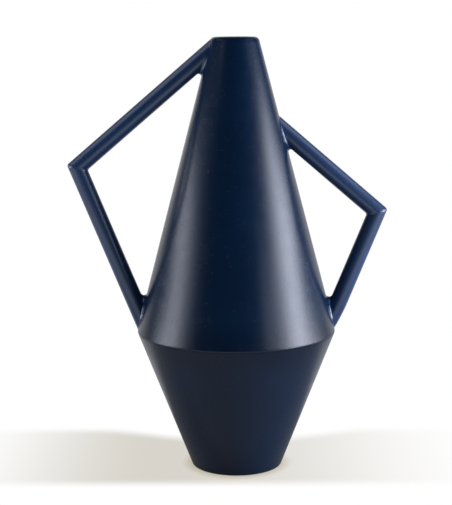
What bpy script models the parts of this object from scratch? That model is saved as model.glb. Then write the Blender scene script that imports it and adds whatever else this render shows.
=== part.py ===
"""Angular two-handled amphora, 500 mm tall, built from separately formed clay pieces.

A conical neck shell is rebated onto an inverted conical belly shell, and a plug-shaped floor closes the
foot. Each handle is two round rods, mitred at the elbow and coped to the neck shell, with a web of clay
worked into the crotch of every root. Two coils reinforce the seams on the inside.
The frame has +Z up and its origin on the vase's axis, at the centre of the underside.
"""

import math

import bmesh
import bpy
from mathutils import Matrix, Vector

# Outer form. The shoulder is the sharp corner where the two cones meet, before it is rounded.
HEIGHT = 0.500
MOUTH_RADIUS = 0.0267
SHOULDER_RADIUS = 0.1152
SHOULDER_HEIGHT = 0.1615
FOOT_RADIUS = 0.0524

# Wall and its roundings.
WALL = 0.006
RIM_OUTER_ROUND = 0.0044
RIM_INNER_ROUND = 0.0015
SHOULDER_ROUND = 0.005
FOOT_ROUND = 0.0025

# Every pair of pieces keeps this much room for the slip that joins them.
JOINT_GAP = 0.0003

# Shoulder seam: a tongue on the belly shell rises inside a rebate in the neck shell.
SEAM_BELOW_SHOULDER = 0.003
SEAM_LAP = 0.004
SEAM_TONGUE = 0.0032

# Floor: a plug with a lip that lies on a ledge in the foot of the belly shell.
FLOOR_BOSS_RADIUS = 0.0441
FLOOR_LEDGE_HEIGHT = 0.004
FLOOR_THICKNESS = 0.0083

# Reinforcing coils inside the seams: how far each reaches along the walls, and how far it bulges.
SHOULDER_COIL_REACH = 0.009
SHOULDER_COIL_BULGE = 0.003
COIL_EDGE = 0.0007
FLOOR_COIL_RADIUS = 0.008

# Handles, in the plane Y = 0. Each elbow is (X, Z) of the rods' centre lines; each root is the height at
# which a rod's centre line meets the neck shell.
ROD_RADIUS = 0.0100
LEFT_ELBOW = (-0.1817, 0.3527)
LEFT_UPPER_ROOT = 0.4808
LEFT_LOWER_ROOT = 0.1780
RIGHT_ELBOW = (0.1631, 0.3001)
RIGHT_UPPER_ROOT = 0.3938
RIGHT_LOWER_ROOT = 0.1750
ROD_PAST_ROOT = 0.018

# Webs in the crotches of the rods' roots: a rolling ball's radius, and how far each wraps the rod.
UPPER_WEB_RADIUS = 0.0030
LOWER_WEB_RADIUS = 0.0042
WEB_WRAP = math.radians(104)

# Facets.
TURNED_STEPS = 64
ROD_SIDES = 32
ARC_STEPS = 3
WEB_STEPS_AROUND = 20
WEB_STEPS_ACROSS = 5

# Finishes: colour and roughness.
GLAZE = ((0.010, 0.028, 0.070, 1.0), 0.42)
INSIDE_GLAZE = ((0.012, 0.030, 0.068, 1.0), 0.50)
BARE_CLAY = ((0.72, 0.66, 0.57, 1.0), 0.85)


# ---------------------------------------------------------------------------------------------------
# The walls as lines in the (radius, height) half-plane
# ---------------------------------------------------------------------------------------------------


def wall_radius(start, end, height, inwards):
    """Radius at a height of the line through start and end, moved inwards at right angles to itself."""
    (start_radius, start_height), (end_radius, end_height) = start, end
    run = end_radius - start_radius
    rise = end_height - start_height
    sideways = inwards * math.hypot(run, rise) / abs(rise)
    return start_radius + run * (height - start_height) / rise - sideways


def belly_radius(height, inwards=0.0):
    return wall_radius((FOOT_RADIUS, 0.0), (SHOULDER_RADIUS, SHOULDER_HEIGHT), height, inwards)


def neck_radius(height, inwards=0.0):
    return wall_radius((SHOULDER_RADIUS, SHOULDER_HEIGHT), (MOUTH_RADIUS, HEIGHT), height, inwards)


def shoulder_corner(inwards):
    """Where the two wall lines cross once both are moved inwards, as (radius, height)."""
    low, high = SHOULDER_HEIGHT - 2 * WALL, SHOULDER_HEIGHT + 2 * WALL
    low_gap = belly_radius(low, inwards) - neck_radius(low, inwards)
    high_gap = belly_radius(high, inwards) - neck_radius(high, inwards)
    height = low - low_gap * (high - low) / (high_gap - low_gap)
    return belly_radius(height, inwards), height


def rounded(corners):
    """Points of a closed outline. A corner is (radius, height) or (radius, height, rounding)."""
    points = []
    for index, corner in enumerate(corners):
        here = Vector(corner[:2])
        rounding = corner[2] if len(corner) > 2 else 0.0
        if not rounding:
            points.append(here)
            continue
        back = (Vector(corners[index - 1][:2]) - here).normalized()
        ahead = (Vector(corners[(index + 1) % len(corners)][:2]) - here).normalized()
        half = back.angle(ahead) / 2
        centre = here + (back + ahead).normalized() * rounding / math.sin(half)
        first = here + back * rounding / math.tan(half) - centre
        turn = first.angle_signed(here + ahead * rounding / math.tan(half) - centre)
        for step in range(ARC_STEPS + 1):
            spoke = first.copy()
            # angle_signed counts clockwise and a rotation counts anticlockwise
            spoke.rotate(Matrix.Rotation(-turn * step / ARC_STEPS, 2))
            points.append(centre + spoke)
    return points


# ---------------------------------------------------------------------------------------------------
# Blender objects
# ---------------------------------------------------------------------------------------------------


def clear_scene():
    for found in list(bpy.data.objects):
        bpy.data.objects.remove(found)


def new_collection(name):
    collection = bpy.data.collections.new(name)
    bpy.context.scene.collection.children.link(collection)
    return collection


def new_material(name, colour, roughness):
    material = bpy.data.materials.new(name)
    material.use_nodes = True
    shader = material.node_tree.nodes["Principled BSDF"]
    shader.inputs["Base Color"].default_value = colour
    shader.inputs["Roughness"].default_value = roughness
    shader.inputs["Metallic"].default_value = 0.0
    material.diffuse_color = colour
    return material


def new_object(name, mesh, collection, finish=None, parent=None):
    made = bpy.data.objects.new(name, mesh)
    collection.objects.link(made)
    made.parent = parent
    if finish:
        mesh.materials.append(new_material(name, *finish))
    return made


def new_empty(name, collection, location, parent=None):
    made = bpy.data.objects.new(name, None)
    collection.objects.link(made)
    made.location = location
    made.parent = parent
    return made


def turned(name, outline, closed, collection, finish=None, parent=None):
    """A shape turned about Z. The outline runs down its outer side."""
    mesh = bpy.data.meshes.new(name)
    count = len(outline)
    edges = [(i, i + 1) for i in range(count - 1)]
    if closed:
        edges.append((count - 1, 0))
    mesh.from_pydata([(radius, 0.0, height) for radius, height in outline], edges, [])
    made = new_object(name, mesh, collection, finish, parent)
    screw = made.modifiers.new("turn", "SCREW")
    screw.axis = "Z"
    screw.steps = TURNED_STEPS
    screw.render_steps = TURNED_STEPS
    screw.use_merge_vertices = True
    screw.merge_threshold = 0.00001
    screw.use_smooth_shade = True
    return made


def as_cutter(made):
    made.hide_render = True
    made.display_type = "WIRE"
    return made


# ---------------------------------------------------------------------------------------------------
# The body
# ---------------------------------------------------------------------------------------------------


def neck_shell(collection, finish, parent):
    seam = SHOULDER_HEIGHT - SEAM_BELOW_SHOULDER
    rebate_radius = belly_radius(seam) - SEAM_TONGUE
    rebate_top = seam + SEAM_LAP
    outline = rounded(
        [
            (MOUTH_RADIUS, HEIGHT, RIM_OUTER_ROUND),
            (SHOULDER_RADIUS, SHOULDER_HEIGHT, SHOULDER_ROUND),
            (belly_radius(seam), seam),
            (rebate_radius, seam),
            (rebate_radius, rebate_top),
            (neck_radius(rebate_top, WALL), rebate_top),
            (neck_radius(HEIGHT, WALL), HEIGHT, RIM_INNER_ROUND),
        ]
    )
    return turned("neck_shell", outline, True, collection, finish, parent)


def belly_shell(collection, finish, parent):
    seam = SHOULDER_HEIGHT - SEAM_BELOW_SHOULDER - JOINT_GAP
    tongue_radius = belly_radius(seam + JOINT_GAP) - SEAM_TONGUE - JOINT_GAP
    tongue_top = seam + SEAM_LAP
    bore = FLOOR_BOSS_RADIUS + JOINT_GAP
    outline = rounded(
        [
            (belly_radius(seam), seam),
            (FOOT_RADIUS, 0.0, FOOT_ROUND),
            (bore, 0.0),
            (bore, FLOOR_LEDGE_HEIGHT),
            (belly_radius(FLOOR_LEDGE_HEIGHT, WALL), FLOOR_LEDGE_HEIGHT),
            (belly_radius(tongue_top, WALL), tongue_top),
            (tongue_radius, tongue_top),
            (tongue_radius, seam),
        ]
    )
    return turned("belly_shell", outline, True, collection, finish, parent)


def floor_plug(collection, finish, parent):
    lip_bottom = FLOOR_LEDGE_HEIGHT + JOINT_GAP
    outline = [
        (0.0, FLOOR_THICKNESS),
        (belly_radius(FLOOR_THICKNESS, WALL + JOINT_GAP), FLOOR_THICKNESS),
        (belly_radius(lip_bottom, WALL + JOINT_GAP), lip_bottom),
        (FLOOR_BOSS_RADIUS, lip_bottom),
        (FLOOR_BOSS_RADIUS, 0.0),
        (0.0, 0.0),
    ]
    return turned("floor_plug", outline, False, collection, finish, parent)


def shoulder_seam_coil(collection, finish, parent):
    """A bead pressed into the blunt corner inside the shoulder. Its face bulges into the vase."""
    backing = WALL + JOINT_GAP
    corner = Vector(shoulder_corner(backing))
    upper_height = corner.y + SHOULDER_COIL_REACH
    lower_height = corner.y - SHOULDER_COIL_REACH
    upper_end = Vector((neck_radius(upper_height, backing), upper_height))
    lower_end = Vector((belly_radius(lower_height, backing), lower_height))
    upper_edge = upper_end - Vector((COIL_EDGE, 0.0))
    lower_edge = lower_end - Vector((COIL_EDGE, 0.0))
    face = []
    face_steps = 2 * ARC_STEPS
    for step in range(1, face_steps):
        share = step / face_steps
        bulge = SHOULDER_COIL_BULGE * math.sin(math.pi * share)
        face.append(lower_edge.lerp(upper_edge, share) - Vector((bulge, 0.0)))
    outline = [upper_end, corner, lower_end, lower_edge, *face, upper_edge]
    return turned("shoulder_seam_coil", outline, True, collection, finish, parent)


def floor_seam_coil(collection, finish, parent):
    """A cove of clay in the corner between the floor and the wall."""
    backing = WALL + JOINT_GAP
    bottom = FLOOR_THICKNESS + JOINT_GAP
    corner = Vector((belly_radius(bottom, backing), bottom))
    wall_height = bottom + FLOOR_COIL_RADIUS
    wall_end = Vector((belly_radius(wall_height, backing), wall_height))
    floor_end = corner - Vector((FLOOR_COIL_RADIUS, 0.0))
    wall_edge = wall_end - Vector((COIL_EDGE, 0.0))
    floor_edge = floor_end + Vector((0.0, COIL_EDGE))
    hollow = Vector((floor_edge.x, wall_edge.y))
    face = []
    for step in range(1, ARC_STEPS + 1):
        angle = math.pi / 2 * step / (ARC_STEPS + 1)
        across = (wall_edge.x - hollow.x) * math.sin(angle)
        down = (hollow.y - floor_edge.y) * math.cos(angle)
        face.append(hollow + Vector((across, -down)))
    outline = [wall_end, corner, floor_end, floor_edge, *face, wall_edge]
    return turned("floor_seam_coil", outline, True, collection, finish, parent)


def cope_cutter(collection):
    """Copes the rods' ends. It is the neck shell's outer form, grown by the gap, and all below the shoulder."""
    corner_radius, corner_height = shoulder_corner(-JOINT_GAP)
    above = HEIGHT + 2 * ROD_RADIUS
    beyond = corner_radius + 2 * ROD_RADIUS
    below = corner_height - 2 * ROD_PAST_ROOT
    outline = [
        (0.0, above),
        (neck_radius(above, -JOINT_GAP), above),
        (corner_radius, corner_height),
        (beyond, corner_height),
        (beyond, below),
        (0.0, below),
    ]
    return as_cutter(turned("cope_cutter", outline, False, collection))


# ---------------------------------------------------------------------------------------------------
# The handles
# ---------------------------------------------------------------------------------------------------


def on_plane(x, z):
    """A point of the handles' plane."""
    return Vector((x, 0.0, z))


def root_point(side, height):
    """Where a rod's centre line meets the neck shell. side is -1 for the left handle, 1 for the right."""
    return on_plane(side * neck_radius(height), height)


def rod(name, elbow, root, mitre_normal, cutter, collection, finish, parent):
    """A round rod from the elbow into the body. Its local +Z points to the root.

    mitre_normal points out of the other rod into this one, across the mitre plane through the elbow.
    """
    axis = root - elbow
    turn = axis.to_track_quat("Z", "Y")
    start = 2 * ROD_RADIUS
    length = start + axis.length + ROD_PAST_ROOT
    shape = bmesh.new()
    bmesh.ops.create_cone(
        shape,
        cap_ends=True,
        segments=ROD_SIDES,
        radius1=ROD_RADIUS,
        radius2=ROD_RADIUS,
        depth=length,
        matrix=Matrix.Translation((0.0, 0.0, length / 2 - start)),
    )
    local_normal = turn.inverted() @ mitre_normal
    cut = bmesh.ops.bisect_plane(
        shape,
        geom=shape.verts[:] + shape.edges[:] + shape.faces[:],
        plane_co=local_normal * JOINT_GAP / 2,
        plane_no=local_normal,
        clear_inner=True,
    )
    rim = [piece for piece in cut["geom_cut"] if isinstance(piece, bmesh.types.BMEdge)]
    bmesh.ops.contextual_create(shape, geom=rim)
    bmesh.ops.recalc_face_normals(shape, faces=shape.faces[:])
    mesh = bpy.data.meshes.new(name)
    shape.to_mesh(mesh)
    shape.free()
    mesh.shade_smooth()
    mesh.set_sharp_from_angle(angle=math.radians(30))
    made = new_object(name, mesh, collection, finish, parent)
    made.rotation_mode = "QUATERNION"
    made.rotation_quaternion = turn
    cope = made.modifiers.new("cope", "BOOLEAN")
    cope.operation = "DIFFERENCE"
    cope.solver = "EXACT"
    cope.object = cutter
    return made


def height_above_neck(point, grown):
    """Distance of a point from the neck shell's outer surface once that is grown outwards."""
    lean = math.hypot(SHOULDER_RADIUS - MOUTH_RADIUS, HEIGHT - SHOULDER_HEIGHT) / (HEIGHT - SHOULDER_HEIGHT)
    outside = math.hypot(point.x, point.y) - neck_radius(point.z, -grown)
    return outside / lean


def neck_normal(point):
    """The neck shell's outward normal beside a point."""
    rise = HEIGHT - SHOULDER_HEIGHT
    lean = SHOULDER_RADIUS - MOUTH_RADIUS
    radial = Vector((point.x, point.y, 0.0)).normalized()
    return (radial * rise + Vector((0.0, 0.0, lean))).normalized()


def slide_to_neck(start, axis, wanted, grown):
    """The point along a line, from start, that lies the wanted distance above the grown neck shell."""
    near, far = -4 * ROD_RADIUS, 6 * ROD_RADIUS
    for _ in range(50):
        middle = (near + far) / 2
        if height_above_neck(start + axis * middle, grown) < wanted:
            near = middle
        else:
            far = middle
    return start + axis * near


def web(name, elbow, root, radius, collection, finish, parent):
    """The web in the crotch of a root: the space under a ball that rolls between rod and neck shell."""
    axis = (elbow - root).normalized()
    along_wall = Vector((0.0, 0.0, math.copysign(1.0, axis.z)))
    crotch = (along_wall - along_wall.project(axis)).normalized()
    sideways = axis.cross(crotch)
    rod_skin = ROD_RADIUS + JOINT_GAP
    ball = radius - JOINT_GAP
    shape = bmesh.new()
    sections = []
    for step in range(WEB_STEPS_AROUND + 1):
        angle = WEB_WRAP * (2 * step / WEB_STEPS_AROUND - 1)
        spoke = crotch * math.cos(angle) + sideways * math.sin(angle)
        centre = slide_to_neck(root + spoke * (rod_skin + ball), axis, ball, JOINT_GAP)
        corner = slide_to_neck(root + spoke * rod_skin, axis, 0.0, JOINT_GAP)
        to_rod = -spoke
        to_wall = -neck_normal(centre)
        section = [corner]
        for across in range(WEB_STEPS_ACROSS + 1):
            share = across / WEB_STEPS_ACROSS
            section.append(centre + to_rod.slerp(to_wall, share) * ball)
        sections.append([shape.verts.new(point - elbow) for point in section])
    count = len(sections[0])
    for this, following in zip(sections, sections[1:]):
        for index in range(count):
            after = (index + 1) % count
            shape.faces.new((this[index], this[after], following[after], following[index]))
    shape.faces.new(sections[0])
    shape.faces.new(sections[-1])
    bmesh.ops.recalc_face_normals(shape, faces=shape.faces[:])
    mesh = bpy.data.meshes.new(name)
    shape.to_mesh(mesh)
    shape.free()
    mesh.shade_smooth()
    mesh.set_sharp_from_angle(angle=math.radians(40))
    return new_object(name, mesh, collection, finish, parent)


def handle(side_name, side, elbow_xz, upper_height, lower_height, cutter, collection, finish, parent):
    elbow = on_plane(*elbow_xz)
    upper_root = root_point(side, upper_height)
    lower_root = root_point(side, lower_height)
    to_upper = (upper_root - elbow).normalized()
    to_lower = (lower_root - elbow).normalized()
    mitre_normal = (to_upper - to_lower).normalized()
    pivot = new_empty(f"{side_name}_handle", collection, elbow, parent)
    for place, root, normal, web_radius in (
        ("upper", upper_root, mitre_normal, UPPER_WEB_RADIUS),
        ("lower", lower_root, -mitre_normal, LOWER_WEB_RADIUS),
    ):
        rod(f"{side_name}_{place}_rod", elbow, root, normal, cutter, collection, finish, pivot)
        web(f"{side_name}_{place}_web", elbow, root, web_radius, collection, finish, pivot)


def main():
    clear_scene()
    amphora = new_collection("amphora")
    cutters = new_collection("cutters")
    axis = new_empty("amphora_axis", amphora, (0.0, 0.0, 0.0))
    neck_shell(amphora, GLAZE, axis)
    belly_shell(amphora, GLAZE, axis)
    floor_plug(amphora, BARE_CLAY, axis)
    shoulder_seam_coil(amphora, INSIDE_GLAZE, axis)
    floor_seam_coil(amphora, INSIDE_GLAZE, axis)
    cutter = cope_cutter(cutters)
    handle("left", -1, LEFT_ELBOW, LEFT_UPPER_ROOT, LEFT_LOWER_ROOT, cutter, amphora, GLAZE, axis)
    handle("right", 1, RIGHT_ELBOW, RIGHT_UPPER_ROOT, RIGHT_LOWER_ROOT, cutter, amphora, GLAZE, axis)


main()
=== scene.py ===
"""The looks of the angular two-handled amphora.

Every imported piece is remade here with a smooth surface, true roundings and rolled fillets. It takes
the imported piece's place and gets a procedural satin glaze or sanded clay. A pale floor, soft light and
the camera follow. Lengths are in metres. The vase stands on its axis, with the big handle towards -X
and the small one towards +X.
"""

import math

import bpy
from mathutils import Matrix, Vector


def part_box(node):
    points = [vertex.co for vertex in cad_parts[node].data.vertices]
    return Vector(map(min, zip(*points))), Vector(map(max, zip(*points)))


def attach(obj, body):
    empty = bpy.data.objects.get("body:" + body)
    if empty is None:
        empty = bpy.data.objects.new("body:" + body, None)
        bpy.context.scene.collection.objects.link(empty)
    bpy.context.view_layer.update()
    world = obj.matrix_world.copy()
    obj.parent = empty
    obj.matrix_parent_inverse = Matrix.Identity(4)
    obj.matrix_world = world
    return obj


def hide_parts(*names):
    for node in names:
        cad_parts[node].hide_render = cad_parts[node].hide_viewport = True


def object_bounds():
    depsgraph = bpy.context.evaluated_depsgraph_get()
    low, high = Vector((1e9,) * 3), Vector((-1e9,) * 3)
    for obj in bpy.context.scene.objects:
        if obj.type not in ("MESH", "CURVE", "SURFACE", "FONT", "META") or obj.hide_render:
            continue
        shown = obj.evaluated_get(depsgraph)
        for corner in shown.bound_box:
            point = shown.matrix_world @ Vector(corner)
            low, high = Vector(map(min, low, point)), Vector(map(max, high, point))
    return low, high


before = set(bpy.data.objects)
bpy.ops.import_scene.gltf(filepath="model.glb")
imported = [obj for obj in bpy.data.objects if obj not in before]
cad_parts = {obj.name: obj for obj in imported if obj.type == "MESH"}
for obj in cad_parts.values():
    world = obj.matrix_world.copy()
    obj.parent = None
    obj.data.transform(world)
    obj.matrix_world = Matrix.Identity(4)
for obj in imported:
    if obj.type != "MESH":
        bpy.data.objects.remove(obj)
cad_low, cad_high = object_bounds()

# ---------------------------------------------------------------------------------------------------
# Sizes of the vase
# ---------------------------------------------------------------------------------------------------

# Outer form: two cones that share the shoulder, which is the sharp corner before it is rounded.
HEIGHT = cad_high.z
MOUTH_RADIUS = 0.0267
SHOULDER_RADIUS = 0.1152
SHOULDER_HEIGHT = 0.1615
FOOT_RADIUS = 0.0524

WALL = 0.006
RIM_OUTER_ROUND = 0.0060
RIM_INNER_ROUND = 0.0011
SHOULDER_ROUND = 0.0051
FOOT_ROUND = 0.0022

# Shoulder seam: a tongue on the belly shell rises inside a rebate in the neck shell.
SEAM_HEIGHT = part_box("neck_shell")[0].z
SEAM_LAP = 0.004
SEAM_TONGUE = 0.0032
SEAM_GAP = 0.0002

# Floor plug, its ledge, and the fine groove that its joint leaves on the underside.
FLOOR_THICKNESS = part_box("floor_plug")[1].z
FLOOR_BOSS_RADIUS = 0.0441
FLOOR_LEDGE_HEIGHT = 0.004
FLOOR_JOINT_GAP = 0.0001
FLOOR_JOINT_ROUND = 0.0006

# Coils of clay inside the seams. The shares say how much of a coil's face its rounding takes.
SHOULDER_COIL_REACH = 0.009
SHOULDER_COIL_BULGE = 0.0035
SHOULDER_COIL_ROUND_SHARE = 0.9
FLOOR_COIL_RADIUS = 0.008
FLOOR_COIL_ROUND_SHARE = 0.8
COIL_EDGE = 0.0004

# Handles, in the plane Y = 0: elbows are (X, Z) of the rods' centre lines, and roots are the heights
# at which those lines meet the neck shell. A bend sweeps a rod's last stretch in, towards the handle's
# gap. A rod ends at a depth inside the wall, and a lower rod no lower than the end height.
ROD_RADIUS = 0.0100
ELBOW_OUTER_ROUND = 0.0036
ELBOW_INNER_ROUND = 0.0028
LEFT_ELBOW = (-0.1817, 0.3527)
RIGHT_ELBOW = (0.1631, 0.3001)
BEND_LENGTH = 0.025
ROD_END_DEPTH = 0.0015
ROD_END_HEIGHT = 0.1600

# Each root: height, bend, and the fillet's radius in the crotch and on the far side of the rod.
LEFT_ROOTS = {"upper": (0.4808, 0.0, 0.0030, 0.0022), "lower": (0.1780, 0.0, 0.0040, 0.0015)}
RIGHT_ROOTS = {"upper": (0.3938, 0.0, 0.0025, 0.0022), "lower": (0.1750, 0.0013, 0.0042, 0.0015)}
FILLET_DEPTH = 0.0012

# How finely the surfaces are divided.
TURNED_STEPS = 192
ROD_STEPS_AROUND = 72
ROD_STEPS_ALONG = 28
ELBOW_STEPS = 8
FILLET_STEPS_AROUND = 144
FILLET_STEPS_ACROSS = 10
ARC_STEP = math.radians(4)
FEWEST_ARC_STEPS = 3
LONGEST_STRIP = 0.012

# The search for the place where a rod comes down to the body: how far before the root it starts and how
# far beyond it gives up, its step, and how often the last step is halved.
SEARCH_BEFORE = 5 * ROD_RADIUS
SEARCH_BEYOND = 4 * ROD_RADIUS
SEARCH_STEP = ROD_RADIUS / 20
SEARCH_HALVINGS = 30


# ---------------------------------------------------------------------------------------------------
# The body's outer form
# ---------------------------------------------------------------------------------------------------


def wall_radius(start, end, height, inwards):
    """Radius at a height of the line through start and end, once it is moved squarely inwards."""
    run = end.x - start.x
    rise = end.y - start.y
    sideways = inwards * math.hypot(run, rise) / abs(rise)
    return start.x + run * (height - start.y) / rise - sideways


FOOT = Vector((FOOT_RADIUS, 0.0))
SHOULDER = Vector((SHOULDER_RADIUS, SHOULDER_HEIGHT))
MOUTH = Vector((MOUTH_RADIUS, HEIGHT))


def belly_radius(height, inwards=0.0):
    return wall_radius(FOOT, SHOULDER, height, inwards)


def neck_radius(height, inwards=0.0):
    return wall_radius(SHOULDER, MOUTH, height, inwards)


def shoulder_corner(inwards):
    """Where the two wall lines cross once both are moved inwards, as (radius, height)."""
    low, high = SHOULDER_HEIGHT - 2 * WALL, SHOULDER_HEIGHT + 2 * WALL
    low_gap = belly_radius(low, inwards) - neck_radius(low, inwards)
    high_gap = belly_radius(high, inwards) - neck_radius(high, inwards)
    height = low - low_gap * (high - low) / (high_gap - low_gap)
    return Vector((belly_radius(height, inwards), height))


NECK_UP = (MOUTH - SHOULDER).normalized()
BELLY_DOWN = (FOOT - SHOULDER).normalized()
NECK_NORMAL = Vector((NECK_UP.y, -NECK_UP.x))
BELLY_NORMAL = Vector((-BELLY_DOWN.y, BELLY_DOWN.x))
SHOULDER_CENTRE = shoulder_corner(SHOULDER_ROUND)


def above_body(point):
    """Height of a point above the body's outer surface, and the surface's outward normal below it."""
    spoke = Vector((math.hypot(point.x, point.y), point.z)) - SHOULDER_CENTRE
    if spoke.dot(NECK_UP) > 0.0:
        normal = NECK_NORMAL
    elif spoke.dot(BELLY_DOWN) > 0.0:
        normal = BELLY_NORMAL
    else:
        normal = spoke.normalized()
    sideways = Vector((point.x, point.y, 0.0)).normalized()
    return spoke.dot(normal) - SHOULDER_ROUND, sideways * normal.x + Vector((0.0, 0.0, normal.y))


# ---------------------------------------------------------------------------------------------------
# Surfaces with exact normals
# ---------------------------------------------------------------------------------------------------

NO_NORMAL = Vector((0.0, 0.0, 0.0))

# Places in a station: its points, and their normals in the strip before it and in the strip after it.
POINTS = 0
BEFORE = 1
AFTER = 2


def skin(name, stations, closed=False):
    """A closed mesh through stations, each (points, before, after). A station of one point is a pole.

    A zero normal leaves it to Blender. Seen from outside, a ring runs to the right as the stations run
    down. If closed, the last station is joined to the first.
    """
    points = []
    starts = []
    for ring, _, _ in stations:
        starts.append(len(points))
        points.extend(ring)
    steps = max(len(ring) for ring, _, _ in stations)
    pairs = [(index, index + 1) for index in range(len(stations) - 1)]
    if closed:
        pairs.append((len(stations) - 1, 0))
    faces = []
    normals = []
    for upper, lower in pairs:
        for here in range(steps):
            following = (here + 1) % steps
            face = []
            for station, place, side in (
                (upper, here, AFTER),
                (lower, here, BEFORE),
                (lower, following, BEFORE),
                (upper, following, AFTER),
            ):
                place %= len(stations[station][POINTS])
                vertex = starts[station] + place
                if vertex not in face:
                    face.append(vertex)
                    normals.append(stations[station][side][place])
            faces.append(face)
    mesh = bpy.data.meshes.new(name)
    mesh.from_pydata(points, [], faces)
    mesh.shade_smooth()
    mesh.normals_split_custom_set(normals)
    return mesh


def add_piece(mesh, node, material):
    """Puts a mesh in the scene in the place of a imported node."""
    mesh.materials.append(material)
    piece = bpy.data.objects.new(mesh.name, mesh)
    bpy.context.scene.collection.objects.link(piece)
    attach(piece, "root")
    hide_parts(node)


def outline(corners):
    """Stations (point, normal before, normal after) of a closed outline in the (radius, height) plane.

    A corner is (radius, height) or (radius, height, rounding). The outline runs down its outer side.
    """
    places = [Vector(corner[:2]) for corner in corners]
    made = []
    for index, corner in enumerate(corners):
        here = places[index]
        arriving = (here - places[index - 1]).normalized()
        leaving = (places[(index + 1) % len(places)] - here).normalized()
        before = Vector((-arriving.y, arriving.x))
        after = Vector((-leaving.y, leaving.x))
        rounding = corner[2] if len(corner) > 2 else 0.0
        if not rounding:
            made.append((here, before, after))
            continue
        turn = arriving.angle_signed(leaving)
        bulge = math.copysign(rounding, turn)
        centre = here - arriving * rounding * math.tan(abs(turn) / 2) - before * bulge
        steps = max(FEWEST_ARC_STEPS, math.ceil(abs(turn) / ARC_STEP))
        for step in range(steps + 1):
            normal = before.slerp(after, step / steps)
            made.append((centre + normal * bulge, normal, normal))
    return made


def divided(stations):
    """The same stations with more between them wherever a straight strip is long."""
    made = []
    for this, following in zip(stations, stations[1:] + stations[:1]):
        made.append(this)
        point, _, normal = this
        extra = int((following[0] - point).length / LONGEST_STRIP)
        for step in range(1, extra + 1):
            made.append((point.lerp(following[0], step / (extra + 1)), normal, normal))
    return made


def turned(name, corners, closed=True):
    """A mesh turned about Z. An outline that isn't closed starts and ends on the axis."""
    stations = outline(corners)
    if closed:
        stations = divided(stations)
    made = []
    for point, before, after in stations:
        steps = TURNED_STEPS if point.x > 0.0 else 1
        angles = [2 * math.pi * step / steps for step in range(steps)]
        made.append([[around(flat, angle) for angle in angles] for flat in (point, before, after)])
    return skin(name, made, closed)


def around(flat, angle):
    """A (radius, height) pair turned to an angle about Z."""
    return Vector((flat.x * math.cos(angle), flat.x * math.sin(angle), flat.y))


# ---------------------------------------------------------------------------------------------------
# The body's pieces
# ---------------------------------------------------------------------------------------------------


def neck_shell_mesh():
    rebate_radius = belly_radius(SEAM_HEIGHT) - SEAM_TONGUE + SEAM_GAP
    rebate_top = SEAM_HEIGHT + SEAM_LAP + SEAM_GAP
    corners = [
        (MOUTH_RADIUS, HEIGHT, RIM_OUTER_ROUND),
        (SHOULDER_RADIUS, SHOULDER_HEIGHT, SHOULDER_ROUND),
        (belly_radius(SEAM_HEIGHT), SEAM_HEIGHT),
        (rebate_radius, SEAM_HEIGHT),
        (rebate_radius, rebate_top),
        (neck_radius(rebate_top, WALL), rebate_top),
        (neck_radius(HEIGHT, WALL), HEIGHT, RIM_INNER_ROUND),
    ]
    return turned("neck_shell_glazed", corners)


def belly_shell_mesh():
    tongue_radius = belly_radius(SEAM_HEIGHT) - SEAM_TONGUE
    tongue_top = SEAM_HEIGHT + SEAM_LAP
    bore = FLOOR_BOSS_RADIUS + FLOOR_JOINT_GAP
    corners = [
        (belly_radius(SEAM_HEIGHT), SEAM_HEIGHT),
        (FOOT_RADIUS, 0.0, FOOT_ROUND),
        (bore, 0.0, FLOOR_JOINT_ROUND),
        (bore, FLOOR_LEDGE_HEIGHT),
        (belly_radius(FLOOR_LEDGE_HEIGHT, WALL), FLOOR_LEDGE_HEIGHT),
        (belly_radius(tongue_top, WALL), tongue_top),
        (tongue_radius, tongue_top),
        (tongue_radius, SEAM_HEIGHT),
    ]
    return turned("belly_shell_glazed", corners)


def floor_plug_mesh():
    lip_bottom = FLOOR_LEDGE_HEIGHT + FLOOR_JOINT_GAP
    corners = [
        (0.0, FLOOR_THICKNESS),
        (belly_radius(FLOOR_THICKNESS, WALL), FLOOR_THICKNESS),
        (belly_radius(lip_bottom, WALL), lip_bottom),
        (FLOOR_BOSS_RADIUS, lip_bottom),
        (FLOOR_BOSS_RADIUS, 0.0, FLOOR_JOINT_ROUND),
        (0.0, 0.0),
    ]
    return turned("floor_plug_sanded", corners, closed=False)


def shoulder_seam_coil_mesh():
    """A bead in the blunt corner inside the shoulder, rounded over nearly its whole face."""
    corner = shoulder_corner(WALL)
    upper_height = corner.y + SHOULDER_COIL_REACH
    lower_height = corner.y - SHOULDER_COIL_REACH
    upper_end = Vector((neck_radius(upper_height, WALL), upper_height))
    lower_end = Vector((belly_radius(lower_height, WALL), lower_height))
    edge = Vector((COIL_EDGE, 0.0))
    crown = (upper_end + lower_end) / 2 - Vector((2 * SHOULDER_COIL_BULGE, 0.0))
    slope = math.atan2(2 * SHOULDER_COIL_BULGE - COIL_EDGE, SHOULDER_COIL_REACH)
    crown_round = SHOULDER_COIL_ROUND_SHARE * SHOULDER_COIL_REACH / math.sin(slope)
    corners = [
        upper_end,
        corner,
        lower_end,
        lower_end - edge,
        (*crown, crown_round),
        upper_end - edge,
    ]
    return turned("shoulder_seam_coil_glazed", corners)


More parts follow.
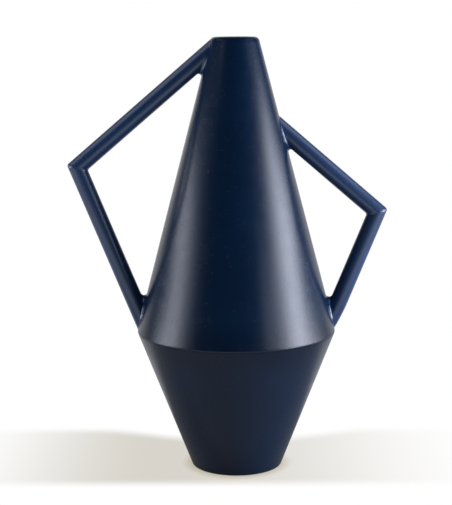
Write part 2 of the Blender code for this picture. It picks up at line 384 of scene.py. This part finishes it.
def floor_seam_coil_mesh():
    """A cove in the corner between the floor and the wall."""
    corner = Vector((belly_radius(FLOOR_THICKNESS, WALL), FLOOR_THICKNESS))
    wall_height = FLOOR_THICKNESS + FLOOR_COIL_RADIUS
    wall_end = Vector((belly_radius(wall_height, WALL), wall_height))
    floor_end = corner - Vector((FLOOR_COIL_RADIUS, 0.0))
    cove_round = FLOOR_COIL_ROUND_SHARE * FLOOR_COIL_RADIUS
    corners = [
        wall_end,
        corner,
        floor_end,
        floor_end + Vector((0.0, COIL_EDGE)),
        (corner.x - COIL_EDGE, corner.y + COIL_EDGE, cove_round),
        wall_end - Vector((COIL_EDGE, 0.0)),
    ]
    return turned("floor_seam_coil_glazed", corners)


# ---------------------------------------------------------------------------------------------------
# The handles
# ---------------------------------------------------------------------------------------------------


class Rod:
    """One rod of a handle, from the elbow to its root.

    Its surface is measured by an angle, which starts at the line farthest from the handle's gap, and a
    distance, which starts at the elbow.
    """

    def __init__(self, elbow, root, other_root, bend):
        self.elbow = elbow
        self.length = (root - elbow).length
        self.axis = (root - elbow).normalized()
        other_axis = (other_root - elbow).normalized()
        self.into_gap = (self.axis + other_axis).normalized()
        self.half_angle = self.axis.angle(other_axis) / 2
        self.outer = (self.into_gap.project(self.axis) - self.into_gap).normalized()
        self.sideways = self.outer.cross(self.axis)
        self.bend = bend

    def spoke(self, angle):
        return self.outer * math.cos(angle) + self.sideways * math.sin(angle)

    def surface(self, angle, distance):
        bent = max(0.0, 1.0 - (self.length - distance) / BEND_LENGTH)
        centre = self.elbow + self.axis * distance - self.outer * self.bend * bent**2
        return centre + self.spoke(angle) * ROD_RADIUS

    def normal(self, angle, distance):
        bent = max(0.0, 1.0 - (self.length - distance) / BEND_LENGTH)
        slope = 2 * self.bend * bent / BEND_LENGTH
        return (self.spoke(angle) + self.axis * slope * math.cos(angle)).normalized()

    def reach(self, angle, lift, height):
        """Distance at which a point lifted off the rod comes down to a height above the body."""

        def too_high(distance):
            point = self.surface(angle, distance) + self.normal(angle, distance) * lift
            return above_body(point)[0] > height

        far = self.length - SEARCH_BEFORE
        while too_high(far):
            far += SEARCH_STEP
            if far > self.length + SEARCH_BEYOND:
                return far
        near = far - SEARCH_STEP
        for _ in range(SEARCH_HALVINGS):
            middle = (near + far) / 2
            if too_high(middle):
                near = middle
            else:
                far = middle
        return far

    def end(self, angle):
        """Distance at which the rod ends, inside the body's wall."""
        distance = self.reach(angle, 0.0, -ROD_END_DEPTH)
        drop = -self.axis.z
        if drop > 0.0:
            down_to_end = (self.surface(angle, 0.0).z - ROD_END_HEIGHT) / drop
            distance = min(distance, down_to_end)
        return distance

    def elbow_station(self, share, angles):
        """A ring of the rounded elbow.

        share runs from 0 at the mitre to 1 where the straight rod starts.
        """
        sine = math.sin(self.half_angle)
        direction = (-self.into_gap).slerp(self.outer, share)
        fall = self.into_gap.dot(direction) / sine
        points = []
        normals = []
        for angle in angles:
            across = self.spoke(angle) - self.outer * math.cos(angle)
            mitre = self.into_gap * math.cos(angle) * ROD_RADIUS / sine
            corner = self.elbow + across * ROD_RADIUS - mitre
            rounding = elbow_round(angle)
            points.append(corner + (self.into_gap / sine + direction) * rounding)
            growth = (ELBOW_INNER_ROUND - ELBOW_OUTER_ROUND) / 2 / ROD_RADIUS
            tilt = fall + growth * (fall + 1)
            normals.append((direction * math.cos(angle) - across * tilt).normalized())
        return points, normals, normals

    def straight_station(self, share, angles):
        """A ring of the straight rod.

        share runs from 0 at the elbow's rounding to 1 at the rod's end.
        """
        points = []
        normals = []
        for angle in angles:
            start = (elbow_round(angle) - ROD_RADIUS * math.cos(angle)) / math.tan(self.half_angle)
            distance = start + (self.end(angle) - start) * share
            points.append(self.surface(angle, distance))
            normals.append(self.normal(angle, distance))
        return points, normals, normals

    def mesh(self, name):
        angles = [2 * math.pi * step / ROD_STEPS_AROUND for step in range(ROD_STEPS_AROUND)]
        stations = []
        for step in range(ELBOW_STEPS + 1):
            stations.append(self.elbow_station(step / ELBOW_STEPS, angles))
        for step in range(1, ROD_STEPS_ALONG + 1):
            stations.append(self.straight_station(step / ROD_STEPS_ALONG, angles))
        return skin(name, [end_pole(stations[0]), *stations, end_pole(stations[-1])])

    def fillet_section(self, angle, crotch_radius, far_radius):
        """Points of the fillet's section, and the normals of those in its arc.

        The arc is the mark of a ball that rolls around the root, between the rod and the body.
        """
        radius = far_radius + (crotch_radius - far_radius) * (1 - math.cos(angle)) / 2
        distance = self.reach(angle, radius, radius)
        to_rod = -self.normal(angle, distance)
        centre = self.surface(angle, distance) - to_rod * radius
        to_body = -above_body(centre)[1]
        points = []
        normals = []
        for step in range(FILLET_STEPS_ACROSS + 1):
            direction = to_rod.slerp(to_body, step / FILLET_STEPS_ACROSS)
            points.append(centre + direction * radius)
            normals.append(-direction)
        buried = self.reach(angle, -FILLET_DEPTH, -FILLET_DEPTH)
        points.append(points[-1] + to_body * FILLET_DEPTH)
        points.append(self.surface(angle, buried) - self.normal(angle, buried) * FILLET_DEPTH)
        points.append(points[0] + to_rod * FILLET_DEPTH)
        return points, normals

    def fillet_mesh(self, name, crotch_radius, far_radius):
        """A ring of clay around the root, hollow on the outside and buried in the rod and in the wall."""
        angles = [2 * math.pi * step / FILLET_STEPS_AROUND for step in range(FILLET_STEPS_AROUND)]
        sections = [self.fillet_section(angle, crotch_radius, far_radius) for angle in angles]
        stations = []
        last = FILLET_STEPS_ACROSS
        for index in range(len(sections[0][0])):
            ring = [points[index] for points, _ in sections]
            before = [normals[index] if 0 < index <= last else NO_NORMAL for _, normals in sections]
            after = [normals[index] if index < last else NO_NORMAL for _, normals in sections]
            stations.append((ring, before, after))
        return skin(name, stations, closed=True)


def elbow_round(angle):
    """The elbow's rounding, from the outer line at angle 0 to the inner line at half a turn."""
    return ELBOW_INNER_ROUND + (ELBOW_OUTER_ROUND - ELBOW_INNER_ROUND) * (1 + math.cos(angle)) / 2


def end_pole(station):
    """The station of one point that closes a rod, at the middle of its last ring."""
    ring = station[0]
    middle = sum(ring, Vector((0.0, 0.0, 0.0))) / len(ring)
    return [middle], [NO_NORMAL], [NO_NORMAL]


def handle(side_name, side, elbow_xz, roots, material, pooled):
    """Two rods and the fillets around their roots. side is the sign of X on the handle's side."""
    elbow = Vector((elbow_xz[0], 0.0, elbow_xz[1]))
    root_points = {}
    for place, (height, _, _, _) in roots.items():
        root_points[place] = Vector((side * neck_radius(height), 0.0, height))
    for place, other in (("upper", "lower"), ("lower", "upper")):
        _, bend, crotch_radius, far_radius = roots[place]
        rod = Rod(elbow, root_points[place], root_points[other], bend)
        rod_mesh = rod.mesh(f"{side_name}_{place}_rod_glazed")
        add_piece(rod_mesh, f"{side_name}_{place}_rod", material)
        fillet_mesh = rod.fillet_mesh(f"{side_name}_{place}_fillet_glazed", crotch_radius, far_radius)
        add_piece(fillet_mesh, f"{side_name}_{place}_web", pooled)


# ---------------------------------------------------------------------------------------------------
# Materials
# ---------------------------------------------------------------------------------------------------


NOISE_ROUGHNESS = 0.55


class Nodes:
    """Adds nodes to a material's or a world's tree. An input is a value, or another node's output."""

    def __init__(self, owner):
        owner.use_nodes = True
        self.tree = owner.node_tree

    def add(self, kind, inputs=None, **settings):
        node = self.tree.nodes.new("ShaderNode" + kind)
        for key, value in settings.items():
            setattr(node, key, value)
        for key, value in (inputs or {}).items():
            self.set(node.inputs[key], value)
        return node

    def set(self, socket, value):
        if isinstance(value, bpy.types.NodeSocket):
            self.tree.links.new(value, socket)
        else:
            socket.default_value = value

    def noise(self, place, scale, detail=2.0):
        inputs = {"Vector": place, "Scale": scale, "Detail": detail, "Roughness": NOISE_ROUGHNESS}
        return self.add("TexNoise", inputs).outputs["Fac"]

    def ramp(self, value, low, high, to_low=0.0, to_high=1.0, smooth=True):
        """Maps low..high to to_low..to_high and holds the ends."""
        inputs = {
            "Value": value,
            "From Min": low,
            "From Max": high,
            "To Min": to_low,
            "To Max": to_high,
        }
        kind = "SMOOTHSTEP" if smooth else "LINEAR"
        return self.add("MapRange", inputs, interpolation_type=kind).outputs["Result"]

    def maths(self, operation, first, second=0.0):
        return self.add("Math", {0: first, 1: second}, operation=operation).outputs["Value"]

    def multiply(self, colour, factors):
        """A colour with each of its channels multiplied by its own factor."""
        node = self.add("VectorMath", {0: colour, 1: factors}, operation="MULTIPLY")
        return node.outputs["Vector"]

    def scale(self, vector, factor):
        node = self.add("VectorMath", {0: vector, "Scale": factor}, operation="SCALE")
        return node.outputs["Vector"]

    def distance(self, place):
        """Distance of a place from the origin."""
        return self.add("VectorMath", {0: place}, operation="LENGTH").outputs["Value"]

    def cells(self, place, scale):
        """Distance from the middle of the nearest of many scattered cells, 0 to about 1."""
        return self.add("TexVoronoi", {"Vector": place, "Scale": scale}).outputs["Distance"]

    def mix(self, share, first, second):
        """A mix of two colours."""
        node = self.add("Mix", data_type="RGBA")
        self.set(node.inputs["Factor"], share)
        for name, value in (("A", first), ("B", second)):
            sockets = [found for found in node.inputs if found.type == "RGBA"]
            socket = [found for found in sockets if found.name == name][0]
            self.set(socket, value)
        return [found for found in node.outputs if found.type == "RGBA"][0]

    def bump(self, height, distance, normal=None):
        inputs = {"Strength": 1.0, "Distance": distance, "Height": height}
        if normal:
            inputs["Normal"] = normal
        return self.add("Bump", inputs).outputs["Normal"]


def new_material(name):
    material = bpy.data.materials.new(name)
    nodes = Nodes(material)
    shader = material.node_tree.nodes["Principled BSDF"]
    place = nodes.add("TexCoord").outputs["Object"]
    return material, nodes, shader, place


# Colours, and what the handles' glaze has beyond the body's: painted light, which brightens the body's
# colour channel by channel in place of the extra light the rods catch, and a bluer sheen.
WHITE = (1.0, 1.0, 1.0, 1.0)
NAVY = (0.0026, 0.0154, 0.0455, 1.0)
NAVY_DEEP = (0.0022, 0.0134, 0.0390, 1.0)
NAVY_THIN = (0.0060, 0.0320, 0.0850, 1.0)
SPECK = (0.0008, 0.0050, 0.0160, 1.0)
CLAY = (0.620, 0.540, 0.430, 1.0)
CLAY_DARK = (0.470, 0.390, 0.300, 1.0)
CLAY_SPECK = (0.150, 0.105, 0.070, 1.0)
PLAIN = (1.0, 1.0, 1.0)
HANDLE_PAINTED_LIGHT = (2.3, 2.0, 2.4)
BLUE_SHEEN = (0.80, 0.92, 1.00, 1.0)

# The glaze's patterns. A scale is per metre, a relief is in metres, and a pair is the range of the
# pattern over which something changes.
CLOUD_SCALE = 11.0
CLOUD_DETAIL = 3.0
CLOUD_RANGE = (0.35, 0.65)
SPECK_SCALE = 260.0
SPECK_EDGE = (0.035, 0.075)
GLOSS_SCALE = 70.0
GLOSS_DETAIL = 4.0
GLOSS_RANGE = (0.3, 0.7)
GLOSS_SPREAD = 0.025
WAVE_SCALE = 26.0
WAVE_DETAIL = 1.0
WAVE_RELIEF = 0.00004
GRAIN_SCALE = 900.0
GRAIN_DETAIL = 1.0
GRAIN_RELIEF = 0.0000025
COAT_ROUGHNESS = 0.14

# What changes with the height on the body. A pair is two heights, or two distances from the shoulder.
# Painted shade near the shoulder: the body's colour is scaled to this share at the crease, and comes back
# to full over this distance above and below it.
PAINTED_SHADE_RANGE = (0.0, 0.040)
PAINTED_SHOULDER_SHADE = 0.70
WORN_HEIGHTS = (0.0010, 0.0028)
WORN_SCALE = 300.0
WIPED_HEIGHTS = (0.0002, 0.0005)
WIPED_ROUGHNESS = 0.85
NECK_HEIGHTS = (HEIGHT - 0.120, HEIGHT - 0.020)
RIM_HEIGHTS = (HEIGHT - 0.0080, HEIGHT - 0.0035)
BODY_SPECULAR = 0.50
NECK_SPECULAR = 0.36
RIM_SPECULAR = 0.12
CREASE_RANGE = (0.0008, 0.0028)
CREASE_SHARE = 0.65

# The bare clay's patterns.
CLAY_CLOUD_SCALE = 45.0
CLAY_CLOUD_DETAIL = 4.0
CLAY_CLOUD_RANGE = (0.3, 0.7)
CLAY_ROUGHNESS = (0.82, 0.92)
CLAY_SPECULAR = 0.3
GROG_SCALE = 420.0
GROG_EDGE = (0.06, 0.13)
GROG_SHARE = 0.8
RING_SCALE = 520.0
RING_DISTORTION = 1.2
RING_DETAIL = 2.0
RING_RELIEF = 0.00004
PIT_SCALE = 1900.0
PIT_DETAIL = 3.0
PIT_RELIEF = 0.00006


def glaze(name, roughness, body=False, painted_light=PLAIN, sheen=WHITE, gloss_coat=0.0):
    """Satin navy glaze: clouded colour, pinpoint specks, uneven gloss, fine grain and faint waviness."""
    material, nodes, shader, place = new_material(name)
    cloud = nodes.noise(place, CLOUD_SCALE, CLOUD_DETAIL)
    colour = nodes.mix(nodes.ramp(cloud, *CLOUD_RANGE), NAVY_DEEP, NAVY)
    # Painted light: the colour is brightened channel by channel; the handles and fillets use this in
    # place of the extra light the rods catch.
    colour = nodes.multiply(colour, painted_light)
    specks = nodes.cells(place, SPECK_SCALE)
    colour = nodes.mix(nodes.ramp(specks, *SPECK_EDGE, 1.0, 0.0), colour, SPECK)
    gloss = nodes.noise(place, GLOSS_SCALE, GLOSS_DETAIL)
    smoothest = roughness - GLOSS_SPREAD
    roughest = roughness + GLOSS_SPREAD
    gloss = nodes.ramp(gloss, *GLOSS_RANGE, smoothest, roughest, smooth=False)
    if body:
        height = nodes.add("SeparateXYZ", {"Vector": place}).outputs["Z"]
        off_shoulder = nodes.maths("SUBTRACT", height, SHOULDER_HEIGHT)
        off_shoulder = nodes.maths("ABSOLUTE", off_shoulder)
        # Painted shade: the colour darkens towards the shoulder's crease, above and below it.
        colour = nodes.scale(colour, nodes.ramp(off_shoulder, *PAINTED_SHADE_RANGE, PAINTED_SHOULDER_SHADE, 1.0))
        colour, gloss = worn_foot(nodes, place, height, colour, gloss)
        nodes.set(shader.inputs["Specular IOR Level"], body_specular(nodes, height, off_shoulder))
    nodes.set(shader.inputs["Base Color"], colour)
    nodes.set(shader.inputs["Roughness"], gloss)
    shader.inputs["Specular Tint"].default_value = sheen
    wave = nodes.bump(nodes.noise(place, WAVE_SCALE, WAVE_DETAIL), WAVE_RELIEF)
    grain = nodes.bump(nodes.noise(place, GRAIN_SCALE, GRAIN_DETAIL), GRAIN_RELIEF, wave)
    nodes.set(shader.inputs["Normal"], grain)
    shader.inputs["Coat Weight"].default_value = gloss_coat
    shader.inputs["Coat Roughness"].default_value = COAT_ROUGHNESS
    nodes.set(shader.inputs["Coat Normal"], wave)
    return material


def worn_foot(nodes, place, height, colour, gloss):
    """Colour and roughness where the glaze runs thin along the foot's edge and is wiped off below it."""
    foot = nodes.ramp(height, *WORN_HEIGHTS, 1.0, 0.0)
    worn = nodes.maths("MULTIPLY", foot, nodes.noise(place, WORN_SCALE))
    colour = nodes.mix(worn, colour, NAVY_THIN)
    wiped = nodes.ramp(height, *WIPED_HEIGHTS, 1.0, 0.0)
    clay_cloud = nodes.noise(place, CLAY_CLOUD_SCALE, CLAY_CLOUD_DETAIL)
    colour = nodes.mix(wiped, colour, nodes.mix(clay_cloud, CLAY_DARK, CLAY))
    return colour, nodes.ramp(wiped, 0.0, 1.0, gloss, WIPED_ROUGHNESS)


def body_specular(nodes, height, off_shoulder):
    """The body's specular level: it falls towards the rim, where the glaze dries, and on the crease."""
    neck = nodes.ramp(height, *NECK_HEIGHTS, BODY_SPECULAR, NECK_SPECULAR)
    level = nodes.ramp(height, *RIM_HEIGHTS, neck, RIM_SPECULAR)
    return nodes.maths("MULTIPLY", level, nodes.ramp(off_shoulder, *CREASE_RANGE, CREASE_SHARE, 1.0))


def sanded_clay(name):
    """Bare fired clay: warm stone colour, dark grog, fine pits, and rings left by sanding on a wheel."""
    material, nodes, shader, place = new_material(name)
    cloud = nodes.noise(place, CLAY_CLOUD_SCALE, CLAY_CLOUD_DETAIL)
    colour = nodes.mix(nodes.ramp(cloud, *CLAY_CLOUD_RANGE), CLAY_DARK, CLAY)
    grog = nodes.cells(place, GROG_SCALE)
    colour = nodes.mix(nodes.ramp(grog, *GROG_EDGE, GROG_SHARE, 0.0), colour, CLAY_SPECK)
    nodes.set(shader.inputs["Base Color"], colour)
    shader.inputs["Specular IOR Level"].default_value = CLAY_SPECULAR
    nodes.set(shader.inputs["Roughness"], nodes.ramp(cloud, *CLAY_CLOUD_RANGE, *CLAY_ROUGHNESS))
    inputs = {
        "Vector": place,
        "Scale": RING_SCALE,
        "Distortion": RING_DISTORTION,
        "Detail": RING_DETAIL,
    }
    rings = nodes.add("TexWave", inputs, wave_type="RINGS", rings_direction="Z").outputs["Fac"]
    sanded = nodes.bump(rings, RING_RELIEF)
    pits = nodes.bump(nodes.noise(place, PIT_SCALE, PIT_DETAIL), PIT_RELIEF, sanded)
    nodes.set(shader.inputs["Normal"], pits)
    return material


# ---------------------------------------------------------------------------------------------------
# Floor, light and camera
# ---------------------------------------------------------------------------------------------------

FLOOR_RADIUS = 8.0
FLOOR_CORNERS = 64

# The floor's shade, in depths along Y and places along X: a band with a soft front and back edge, which
# bows back away from the vase and fades to both sides. Then a contact shadow.
SHADE_COLOUR = (0.92, 1.00, 1.17)
BAND_SHADE = 0.34
BAND_FRONT = (-0.094, -0.060)
BAND_BACK = (0.088, 0.126)
BAND_BACK_PLACES = (0.04, 0.18)
BAND_BACK_SOFTNESS = 0.02
BAND_LEFT = (-0.36, -0.10)
BAND_RIGHT = (-0.08, 0.32)
CONTACT_SHADE = 0.22
CONTACT_RADII = (FOOT_RADIUS - 0.004, FOOT_RADIUS + 0.016)

# How bright the floor is to the glaze, and the distances and depths over which that changes.
FLOOR_NEAR = 0.27
FLOOR_FRONT = 1.15
FLOOR_SIDES = 0.60
FLOOR_FAR = 0.30
NEAR_DISTANCES = (0.36, 0.58)
FAR_DISTANCES = (0.85, 1.70)
FRONT_DEPTHS = (-0.45, -0.15)
BACK_DEPTHS = (0.00, 0.20)

# What the glaze sees of the room: a bright backdrop at the back and a dim ceiling, by direction.
BACKDROP = 0.8
BACKDROP_EDGE = (0.55, 0.90)
OVERHEAD = 0.15
OVERHEAD_EDGE = (0.50, 0.95)

LIGHT_DISTANCE = 1.3
LIGHT_TARGET = Vector((0.0, 0.0, 0.28))
LIGHT_COLOUR = (0.94, 0.99, 1.13)

# The side softboxes: banks of panels in rows. A row has its elevation, and a hot spot with the azimuth of
# its middle, its spread in azimuth and its radiance.
PANEL_WIDE = 10
PANEL_HIGH = 8
PANEL_AZIMUTHS = (55, 65, 75, 85, 95, 105, 115)
LEFT_SOFTBOX = ((11, 89, 16, 4.6), (3, 77, 9, 5.0), (-5, 86, 9, 9.5))
RIGHT_SOFTBOX = ((19, 81, 13, 6.4), (11, 82, 16, 11.0), (3, 74, 11, 11.0), (-5, 74, 16, 17.0))

CAMERA_DISTANCE = 1.569
CAMERA_HEIGHT = 0.5206
CAMERA_DOWN = math.radians(9.69)
CAMERA_TURN = 0.0073
CAMERA_ROLL = -0.0059
CAMERA_LENS = 97.80
CAMERA_SENSOR = 36.0


def floor_shade(nodes, place):
    """How far the floor is from white: a soft band beside the vase, and a contact shadow."""
    sides = nodes.add("SeparateXYZ", {"Vector": place}).outputs
    off_axis = nodes.maths("ABSOLUTE", sides["X"])
    back_edge = nodes.ramp(off_axis, *BAND_BACK_PLACES, *BAND_BACK)
    behind = nodes.maths("SUBTRACT", sides["Y"], back_edge)
    front = nodes.ramp(sides["Y"], *BAND_FRONT)
    back = nodes.ramp(behind, -BAND_BACK_SOFTNESS, BAND_BACK_SOFTNESS, 1.0, 0.0)
    band = nodes.maths("MINIMUM", front, back)
    left = nodes.ramp(sides["X"], *BAND_LEFT, 0.0, BAND_SHADE)
    right = nodes.ramp(sides["X"], *BAND_RIGHT, BAND_SHADE, 0.0)
    band = nodes.maths("MULTIPLY", band, nodes.maths("MINIMUM", left, right))
    contact = nodes.ramp(nodes.distance(place), *CONTACT_RADII, CONTACT_SHADE, 0.0)
    return nodes.maths("ADD", band, contact)


def floor_glow(nodes, place):
    """The floor as the glaze sees it: dim at the vase, brighter an arm's length off, fading beyond."""
    away = nodes.distance(place)
    depth = nodes.add("SeparateXYZ", {"Vector": place}).outputs["Y"]
    bright = nodes.ramp(depth, *FRONT_DEPTHS, FLOOR_FRONT, FLOOR_SIDES)
    near = nodes.ramp(away, *NEAR_DISTANCES, FLOOR_NEAR, bright)
    far = nodes.ramp(away, *FAR_DISTANCES, bright, FLOOR_FAR)
    behind = nodes.ramp(depth, *BACK_DEPTHS, 0.0, FLOOR_SIDES)
    return nodes.maths("MAXIMUM", nodes.maths("MINIMUM", near, far), behind)


def white_to_the_eye(nodes, strength):
    """1 as the camera sees it, and a strength as the glaze sees it."""
    seen = nodes.add("LightPath").outputs["Is Camera Ray"]
    unseen = nodes.maths("MULTIPLY", strength, nodes.maths("SUBTRACT", 1.0, seen))
    return nodes.maths("ADD", unseen, seen)


def floor():
    """A pale floor, white but for the soft shade around the vase. From below it is clear."""
    mesh = bpy.data.meshes.new("floor")
    corners = range(FLOOR_CORNERS)
    edge = Vector((FLOOR_RADIUS, 0.0))
    ring = [around(edge, 2 * math.pi * corner / FLOOR_CORNERS) for corner in corners]
    mesh.from_pydata(ring, [], [list(corners)])
    piece = bpy.data.objects.new("floor", mesh)
    bpy.context.scene.collection.objects.link(piece)
    material = bpy.data.materials.new("floor_paint")
    nodes = Nodes(material)
    nodes.tree.nodes.remove(nodes.tree.nodes["Principled BSDF"])
    place = nodes.add("TexCoord").outputs["Object"]
    shade = nodes.scale(SHADE_COLOUR, floor_shade(nodes, place))
    colour = nodes.add("VectorMath", {0: PLAIN, 1: shade}, operation="SUBTRACT").outputs["Vector"]
    strength = white_to_the_eye(nodes, floor_glow(nodes, place))
    shown = nodes.add("Emission", {"Color": colour, "Strength": strength}).outputs["Emission"]
    clear = nodes.add("BsdfTransparent").outputs["BSDF"]
    below = nodes.add("NewGeometry").outputs["Backfacing"]
    shown = nodes.add("MixShader", {0: below, 1: shown, 2: clear}).outputs["Shader"]
    nodes.set(nodes.tree.nodes["Material Output"].inputs["Surface"], shown)
    mesh.materials.append(material)


def surroundings():
    """White to the eye. To the glaze it is a dark studio with a bright backdrop behind the vase."""
    world = bpy.data.worlds.new("studio")
    bpy.context.scene.world = world
    nodes = Nodes(world)
    direction = nodes.add("TexCoord").outputs["Generated"]
    sides = nodes.add("SeparateXYZ", {"Vector": direction}).outputs
    backdrop = nodes.ramp(sides["Y"], *BACKDROP_EDGE, 0.0, BACKDROP)
    overhead = nodes.ramp(sides["Z"], *OVERHEAD_EDGE, 0.0, OVERHEAD)
    strength = white_to_the_eye(nodes, nodes.maths("MAXIMUM", backdrop, overhead))
    shader = world.node_tree.nodes["Background"]
    shader.inputs["Color"].default_value = WHITE
    nodes.set(shader.inputs["Strength"], strength)


def panel(name, azimuth, elevation, wide, high, radiance):
    """A rectangular light that faces the vase, given by angles in degrees as the vase sees it.

    Azimuth 0 is the camera's side, and 90 is +X.
    """
    turn = math.radians(azimuth)
    rise = math.radians(elevation)
    level = math.cos(rise)
    towards = Vector((math.sin(turn) * level, -math.cos(turn) * level, math.sin(rise)))
    light = bpy.data.lights.new(name, "AREA")
    light.shape = "RECTANGLE"
    light.size = 2 * LIGHT_DISTANCE * math.tan(math.radians(wide / 2))
    light.size_y = 2 * LIGHT_DISTANCE * math.tan(math.radians(high / 2))
    light.energy = radiance * math.pi * light.size * light.size_y
    light.color = LIGHT_COLOUR
    lamp = bpy.data.objects.new(name, light)
    bpy.context.scene.collection.objects.link(lamp)
    facing = towards.to_track_quat("Z", "Y").to_matrix().to_4x4()
    lamp.matrix_world = Matrix.Translation(LIGHT_TARGET + towards * LIGHT_DISTANCE) @ facing
    lamp.visible_camera = False


def softbox(name, side, rows):
    """A bank of panels, each row brightest at its hot spot and fading evenly to both ends.

    side is the sign of X on the softbox's side.
    """
    for elevation, middle, spread, brightest in rows:
        for azimuth in PANEL_AZIMUTHS:
            radiance = brightest * math.exp(-(((azimuth - middle) / spread) ** 2) / 2)
            label = f"{name}_{azimuth}_{elevation}"
            panel(label, side * azimuth, elevation, PANEL_WIDE, PANEL_HIGH, radiance)


def camera():
    data = bpy.data.cameras.new("camera")
    data.sensor_width = CAMERA_SENSOR
    data.lens = CAMERA_LENS
    made = bpy.data.objects.new("camera", data)
    bpy.context.scene.collection.objects.link(made)
    turn = Matrix.Rotation(CAMERA_TURN, 4, "Z")
    tilt = Matrix.Rotation(math.pi / 2 - CAMERA_DOWN, 4, "X")
    roll = Matrix.Rotation(CAMERA_ROLL, 4, "Z")
    place = Matrix.Translation((0.0, -CAMERA_DISTANCE, CAMERA_HEIGHT))
    made.matrix_world = place @ turn @ tilt @ roll
    bpy.context.scene.camera = made


# ---------------------------------------------------------------------------------------------------
# The scene
# ---------------------------------------------------------------------------------------------------

# The handles' and fillets' glaze is the body's colour brightened as painted light, with a bluer sheen and
# a coat.
handle_look = {"painted_light": HANDLE_PAINTED_LIGHT, "sheen": BLUE_SHEEN, "gloss_coat": 0.55}
body_glaze = glaze("body_glaze_satin", roughness=0.26, body=True)
handle_glaze = glaze("handle_glaze_satin", roughness=0.43, **handle_look)
pooled_glaze = glaze("pooled_glaze_satin", roughness=0.15, **handle_look)
inside_glaze = glaze("inside_glaze_satin", roughness=0.38)

add_piece(neck_shell_mesh(), "neck_shell", body_glaze)
add_piece(belly_shell_mesh(), "belly_shell", body_glaze)
add_piece(floor_plug_mesh(), "floor_plug", sanded_clay("bare_clay_sanded"))
add_piece(shoulder_seam_coil_mesh(), "shoulder_seam_coil", inside_glaze)
add_piece(floor_seam_coil_mesh(), "floor_seam_coil", inside_glaze)
handle("left", -1, LEFT_ELBOW, LEFT_ROOTS, handle_glaze, pooled_glaze)
handle("right", 1, RIGHT_ELBOW, RIGHT_ROOTS, handle_glaze, pooled_glaze)

floor()
surroundings()
softbox("left_softbox", -1, LEFT_SOFTBOX)
softbox("right_softbox", 1, RIGHT_SOFTBOX)
panel("left_high_softbox", azimuth=-82, elevation=46, wide=46, high=20, radiance=1.4)
panel("right_high_softbox", azimuth=85, elevation=47, wide=43, high=20, radiance=1.7)
panel("low_front_panel", azimuth=42, elevation=7, wide=18, high=16, radiance=1.2)
camera()
bpy.context.scene.view_settings.view_transform = "Standard"
